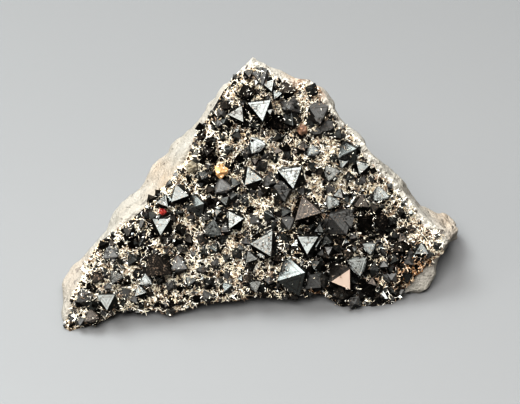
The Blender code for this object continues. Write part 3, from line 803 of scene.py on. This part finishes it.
def makeStandingCrystals(plan):
    rng = random.Random(largeCrystals["growthSeed"])
    plain = makeOctahedron("octahedron", largeCrystals["wornEdge"])
    stepped = makeOctahedron("stepped octahedron", 0)
    stepFaces(stepped)
    grainRooms = [(Vector(place) * mm, grainShape["room"] * size * mm)
                  for place, size, *_ in grains.values()]
    crystals = []
    for middle, edge, turn, stretch, tone in plan:
        reach = edge / math.sqrt(2)
        large = tone is not None
        hasPaintedReflection = (middle.to_2d() - Vector(largeCrystals["paintedReflection"]) * mm).length < 0.01 * mm
        tone = tone if large else rng.uniform(*smallCrystals["tones"])
        size = Matrix.Diagonal((*[reach * s * largeCrystals["slimmer"] for s in stretch], 1))
        whole = Matrix.Translation(middle) @ turn.to_4x4()
        isStepped = large and rng.random() < largeCrystals["steppedShare"] and not hasPaintedReflection
        crystals.append(addCrystal(stepped if isStepped else plain, whole @ size, tone, hasPaintedReflection))
        # smaller growths on it, turned the same way
        for _ in range(rng.randint(*(largeCrystals if large else smallCrystals)["growths"])):
            share = rng.uniform(*largeCrystals["growthSizes"])
            step = Vector([rng.uniform(-1, 1) for _ in range(3)]).normalized() * reach * (0.9 - share)
            growth = whole @ Matrix.Translation(step) @ Matrix.Diagonal((*[reach * share] * 3, 1))
            spot = growth.translation.to_2d()
            if all((spot - place).length > room for place, room in grainRooms):
                crystals.append(addCrystal(plain, growth, tone))
    pickOnly(*crystals)
    bpy.ops.object.join()
    joined = bpy.context.object
    joined.name = "standingOctahedra"
    bpy.data.objects.remove(plain, do_unlink=True)
    bpy.data.objects.remove(stepped, do_unlink=True)
    markCrust(joined.data, isCrystal=True)
    joined.matrix_world = facePlace
    settle(joined)
    cutAtTable(joined)
    # how far each facet faces the light side, for the painted shade
    facing = joined.data.attributes.new("facing", "FLOAT", "FACE").data
    for face, value in zip(joined.data.polygons, facing):
        value.value = face.normal.dot(brightSide)
    joined.data.materials.append(magnetiteMaterial("magnetite facets", 0.7, 0.17))
    dress(joined, "magnetite_crust")
    return joined


# thousands of small things grow on the ground and on the feet of the large crystals: base and
# paleShare set how much of the ground takes them, and how much more where it is pale; reach is
# how far a thing of size 1 comes, tilt how far it may lean, and a high bias makes most small
scatterGap = 0.3 * mm    # none starts nearer than this to the table or the sides of the box
smallerOnCrystals = 0.4
smallOctahedra = {"spacing": 0.33 * mm, "density": 11.0, "sizes": (0.16 * mm, 0.60 * mm), "bias": 2.2,
                  "base": 1.0, "paleShare": -0.45, "onCrystals": 0.3, "lift": 0.05 * mm,
                  "reach": 1.3, "tilt": math.pi, "seed": 3}
middleOctahedra = {"spacing": 1.15 * mm, "density": 0.8, "sizes": (0.55 * mm, 1.05 * mm), "bias": 1.6,
                   "base": 1.0, "paleShare": -0.5, "onCrystals": 0.15, "lift": 0.18 * mm,
                   "reach": 1.3, "tilt": math.pi, "seed": 8}
creamCurls = {"spacing": 0.22 * mm, "density": 14.5, "sizes": (0.28 * mm, 0.72 * mm), "bias": 1.5,
              "base": 0.12, "paleShare": 0.95, "onCrystals": 0.40, "lift": 0.16 * mm,
              "reach": 1.4, "tilt": 0.8, "seed": 21}
loneLaths = {"spacing": 0.30 * mm, "density": 9.0, "sizes": (0.24 * mm, 0.62 * mm), "bias": 1.6,
             "base": 0.15, "paleShare": 0.65, "onCrystals": 0.50, "lift": 0.18 * mm,
             "reach": 1.4, "tilt": 0.7, "seed": 27}
lathSprays = {"spacing": 0.42 * mm, "density": 5.0, "sizes": (0.22 * mm, 0.46 * mm), "bias": 1.3,
              "base": 0.05, "paleShare": 0.90, "onCrystals": 0.15, "lift": 0.16 * mm,
              "reach": 2.3, "tilt": 0.6, "seed": 34}


def randomOn(sheet, seed, low=None, high=None):
    # a random value for each thing: between two vectors, or from 0 to 1
    if low:
        return sheet.node("FunctionNodeRandomValue", {"data_type": "FLOAT_VECTOR"},
                          {0: low, 1: high, "Seed": seed})
    return sheet.node("FunctionNodeRandomValue", {"data_type": "FLOAT"}, {"Seed": seed}, output=1)


def scatterOver(surface, template, name, look):
    tree = bpy.data.node_groups.new(name, "GeometryNodeTree")
    tree.interface.new_socket("Geometry", in_out="INPUT", socket_type="NodeSocketGeometry")
    tree.interface.new_socket("Geometry", in_out="OUTPUT", socket_type="NodeSocketGeometry")
    sheet = Wire(tree)
    skin = sheet.node("NodeGroupInput")
    pale, room, crystal = (sheet.node("GeometryNodeInputNamedAttribute", {"data_type": "FLOAT"},
                                      {"Name": mark}) for mark in ("pale", "room", "crystal"))
    where = sheet.node("GeometryNodeInputPosition")
    fromFace = vectors(sheet, "SUBTRACT", {0: where, 1: faceOrigin})
    height = vectors(sheet, "DOT_PRODUCT", {0: fromFace, 1: faceNormal}, output="Value")
    level = sheet.node("ShaderNodeSeparateXYZ", None, {0: where}, output="Z")
    margin = maths("MINIMUM", maths("MINIMUM", level, roof - level), level.out("Y") - foremost)
    clear = maths("GREATER_THAN", height, scatterGap) * maths("GREATER_THAN", margin, scatterGap)
    rarer = 1 - crystal * (1 - look["onCrystals"])
    share = (look["base"] + pale * look["paleShare"]) * room * clear * rarer
    points = sheet.node("GeometryNodeDistributePointsOnFaces", {"distribute_method": "POISSON"},
                        {"Mesh": skin, "Distance Min": look["spacing"],
                         "Density Max": look["density"] / mm ** 2, "Density Factor": share,
                         "Seed": look["seed"]})
    normal = points.out("Normal")
    upright = points.out("Rotation")
    lifted = vectors(sheet, "SCALE", {0: normal, "Scale": look["lift"]})
    points = sheet.node("GeometryNodeSetPosition", None, {"Geometry": points, "Offset": lifted})
    tilt = look["tilt"]
    turn = randomOn(sheet, look["seed"] + 1, (-tilt, -tilt, 0), (tilt, tilt, 2 * math.pi))
    turn = sheet.node("FunctionNodeRotateRotation", {"rotation_space": "LOCAL"},
                      {"Rotation": upright, "Rotate By": turn})
    chance = randomOn(sheet, look["seed"] + 2)
    low, high = look["sizes"]
    size = (low + (high - low) * chance ** look["bias"]) * (1 - crystal * smallerOnCrystals)
    size = maths("MINIMUM", size, margin * (1 / look["reach"]))
    uneven = randomOn(sheet, look["seed"] + 3, (0.8,) * 3, (1.2,) * 3)
    scale = vectors(sheet, "SCALE", {0: uneven, "Scale": size})
    shape = sheet.node("GeometryNodeObjectInfo", None, {"Object": template}, output="Geometry")
    spread = sheet.node("GeometryNodeInstanceOnPoints", None,
                        {"Points": points, "Instance": shape, "Rotation": turn, "Scale": scale})
    tone = randomOn(sheet, look["seed"] + 4)
    toned = sheet.node("GeometryNodeStoreNamedAttribute", {"data_type": "FLOAT", "domain": "INSTANCE"},
                       {"Geometry": spread, "Name": "tone", "Value": tone})
    real = sheet.node("GeometryNodeRealizeInstances", None, {"Geometry": toned})
    # how far each facet faces the light side, for the painted shade
    facing = vectors(sheet, "DOT_PRODUCT",
                     {0: sheet.node("GeometryNodeInputNormal"), 1: brightSide}, output="Value")
    marked = sheet.node("GeometryNodeStoreNamedAttribute", {"data_type": "FLOAT", "domain": "FACE"},
                        {"Geometry": real, "Name": "facing", "Value": facing})
    sheet.node("NodeGroupOutput", None, {0: marked})
    piece = copyOf(surface, name)
    piece.modifiers.new("scatter", "NODES").node_group = tree
    applyAll(piece)
    bpy.data.node_groups.remove(tree)
    bpy.data.objects.remove(template, do_unlink=True)
    piece.data.materials.clear()
    return piece


def makeLath(bend, width):
    # a thin pointed sliver, bent to a bow
    lath = addGlobe(3, 3)
    for vert in lath.data.vertices:
        across, thick, along = vert.co
        vert.co = Vector((along, across * width, thick * width + bend * (1 - along ** 2)))
    return lath


def makeCurl():
    # a thin wall bent to half a ring, standing on its edge
    curl = addGlobe(3, 5)
    halfTurn, ringRadius, halfWall, halfHeight, setBack = 1.35, 0.62, 0.13, 0.24, 0.3
    for vert in curl.data.vertices:
        across, thick, along = vert.co
        angle = halfTurn * along
        radius = ringRadius + halfWall * across
        vert.co = Vector((radius * math.sin(angle), radius * math.cos(angle) - setBack,
                          halfHeight * thick))
    return curl


def makeSpray():
    # four slivers that grow from one point
    blades = []
    for turn, lean, bend in ((0, 15, 0.25), (100, 40, 0.40), (185, 25, -0.30), (275, 60, 0.20)):
        blade = makeLath(bend, 0.14)
        outward = Matrix.Translation(Vector((0.85, 0, 0)))
        tilt = Matrix.Rotation(math.radians(-lean), 4, "Y")
        blade.data.transform(Matrix.Rotation(math.radians(turn), 4, "Z") @ tilt @ outward)
        blades.append(blade)
    pickOnly(*blades)
    bpy.ops.object.join()
    return bpy.context.object


lathColours = {
    "soil": (0.030, 0.020, 0.014),
    "brown": (0.26, 0.18, 0.12),
    "cream": (0.74, 0.67, 0.52),
    "pale": (0.90, 0.86, 0.76),
    "fleck": (0.30, 0.20, 0.11),
    "rust": (0.50, 0.22, 0.05),
}


def lathMaterial():
    material, sheet = newMaterial("cream laths")
    place = placeOn(sheet)
    tone = valueOn(sheet, "tone")
    rust = valueOn(sheet, "rust")
    fine = noiseOn(sheet, place, 1500, 3, 0.6)
    colour = layColours(
        sheet, lathColours["soil"], lathColours,
        ("brown", tone.above(0.10, 0.26)),
        ("cream", tone.above(0.26, 0.50)),
        ("pale", tone.above(0.55, 0.90)),
        ("fleck", fine.above(0.50, 0.75) * 0.3),
        ("rust", rust * (0.3 + fine)))
    finishMaterial(sheet, {"Base Color": colour, "Roughness": 0.55,
                           "Normal": bumpOf(sheet, fine, 0.08 * mm, 0.5)})
    return material


def scatterCrust(layer, crystals):
    feet = copyOf(crystals, "feet")
    surface = copyOf(layer, "growing surface")
    pickOnly(surface, feet)
    bpy.ops.object.join()
    blackBits = magnetiteMaterial("small magnetite", 0.3, 0.14, 2.2)
    creamBits = lathMaterial()
    kinds = (
        ("smallOctahedra", makeOctahedron("seed", 0), smallOctahedra, blackBits),
        ("middleOctahedra", makeOctahedron("seed", 0), middleOctahedra, blackBits),
        ("creamCurls", makeCurl(), creamCurls, creamBits),
        ("loneLaths", makeLath(0.45, 0.17), loneLaths, creamBits),
        ("lathSprays", makeSpray(), lathSprays, creamBits),
    )
    for name, template, look, material in kinds:
        piece = scatterOver(surface, template, name, look)
        piece.data.materials.append(material)
        dress(piece, "magnetite_crust")
        triangles = sum(len(face.vertices) - 2 for face in piece.data.polygons)
        print(name, triangles, "triangles")
    bpy.data.objects.remove(surface, do_unlink=True)


def grainMaterial(name, colour, second, rough):
    material, sheet = newMaterial(name)
    place = placeOn(sheet)
    cloud = noiseOn(sheet, place, 1100, 4, 0.6)
    patches = noiseOn(sheet, place, 900, 2, 0.5, stretch=(1, 1, 1.8))
    deep = [grainShape["shade"] * value for value in colour]
    shade = mixColour(sheet, cloud.above(0.30, 0.55), deep, colour)
    shade = mixColour(sheet, patches.above(0.52, 0.62), shade, second)
    finishMaterial(sheet, {"Base Color": shade, "Roughness": rough + cloud * 0.2,
                           "Normal": bumpOf(sheet, cloud, 0.25 * mm, 0.9)})
    return material


def makeGrains():
    for name, (_, size, colour, second, rough) in grains.items():
        low, high = (Vector(corner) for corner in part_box(name))
        bpy.ops.mesh.primitive_ico_sphere_add(subdivisions=5, radius=0.5)
        grain = bpy.context.object
        grain.name = name.replace("_g", "G")
        grain.scale = (high - low) * grainShape["swell"]
        grain.location = (low + high) / 2
        settle(grain)
        for shape, kind, level in (("chips", "VORONOI", 0.75), ("grit", "CLOUDS", 0.5)):
            wide, tall = (part * size * mm for part in grainShape[shape])
            displace(grain, name + " " + shape, kind, wide, tall, level)
        applyAll(grain)
        keepInside(grain, low, high)
        grain.data.materials.append(grainMaterial(name.replace("_", " "), colour, second, rough))
        pickOnly(grain)
        bpy.ops.object.shade_smooth_by_angle(angle=math.radians(35))
        dress(grain, name)


studio = {
    "floor": (0.13, 0.129, 0.125),
    "aim": Vector((-0.793, 6.962, 16.137)) * mm,    # from the face's origin
    "distance": 230 * mm,
    "elevation": math.radians(40),
    "lens": 105,
    "lights": (    # name, width and height, power, azimuth, elevation, distance, colour
        ("window", (0.42, 0.36), 4.3, -20, 58, 0.60, (0.97, 0.98, 1.0)),
        ("sky", (0.33, 0.33), 3.2, -116, 60, 0.60, (0.90, 0.96, 1.0)),
        ("top", (0.40, 0.25), 1.0, 125, 66, 0.5, (0.98, 0.98, 1.0)),
        ("side", (0.30, 0.30), 0.5, -80, 30, 0.6, (1.0, 0.95, 0.88)),
    ),
    "world": ((0.95, 0.97, 1.0), 0.02),
    "exposure": 0.74,
}


def makeFloor():
    bpy.ops.mesh.primitive_plane_add(size=6)
    floor = bpy.context.object
    floor.name = "floor"
    material, sheet = newMaterial("plain floor")
    finishMaterial(sheet, {"Base Color": (*studio["floor"], 1), "Roughness": 0.6})
    floor.data.materials.append(material)


def addSoftLight(name, size, power, azimuth, elevation, distance, colour):
    aim = Vector((0, 0, 15 * mm))
    a, e = math.radians(azimuth), math.radians(elevation)
    away = Vector((math.sin(a) * math.cos(e), -math.cos(a) * math.cos(e), math.sin(e)))
    light = bpy.data.lights.new(name, "AREA")
    light.shape = "RECTANGLE"
    light.size, light.size_y = size
    light.energy = power
    light.color = colour
    lamp = bpy.data.objects.new(name, light)
    lamp.location = aim + away * distance
    lamp.rotation_euler = away.to_track_quat("Z", "Y").to_euler()
    bpy.context.collection.objects.link(lamp)


def makeStudio():
    makeFloor()
    for light in studio["lights"]:    # azimuth 0 is in front, 90 on the right
        addSoftLight(*light)
    world = bpy.data.worlds.new("studio")
    world.use_nodes = True
    colour, strength = studio["world"]
    background = world.node_tree.nodes["Background"]
    background.inputs["Color"].default_value = (*colour, 1)
    background.inputs["Strength"].default_value = strength
    bpy.context.scene.world = world
    camera = bpy.data.objects.new("camera", bpy.data.cameras.new("camera"))
    camera.data.lens = studio["lens"]
    camera.data.clip_start = 5 * mm
    tilt = studio["elevation"]
    away = Vector((0, -math.cos(tilt), math.sin(tilt)))
    camera.location = faceOrigin + studio["aim"] + away * studio["distance"]
    camera.rotation_euler = (math.pi / 2 - tilt, 0, 0)
    bpy.context.collection.objects.link(camera)
    bpy.context.scene.camera = camera
    view = bpy.context.scene.view_settings
    view.view_transform = "Standard"
    view.look = "High Contrast"
    view.exposure = studio["exposure"]


makeHostRock()
print("rock made")
layer = makeCrustLayer()
print("crust layer made")
crystals = makeStandingCrystals(crystalPlan())
print("standing crystals made")
scatterCrust(layer, crystals)
makeGrains()
print("grains made")
makeStudio()
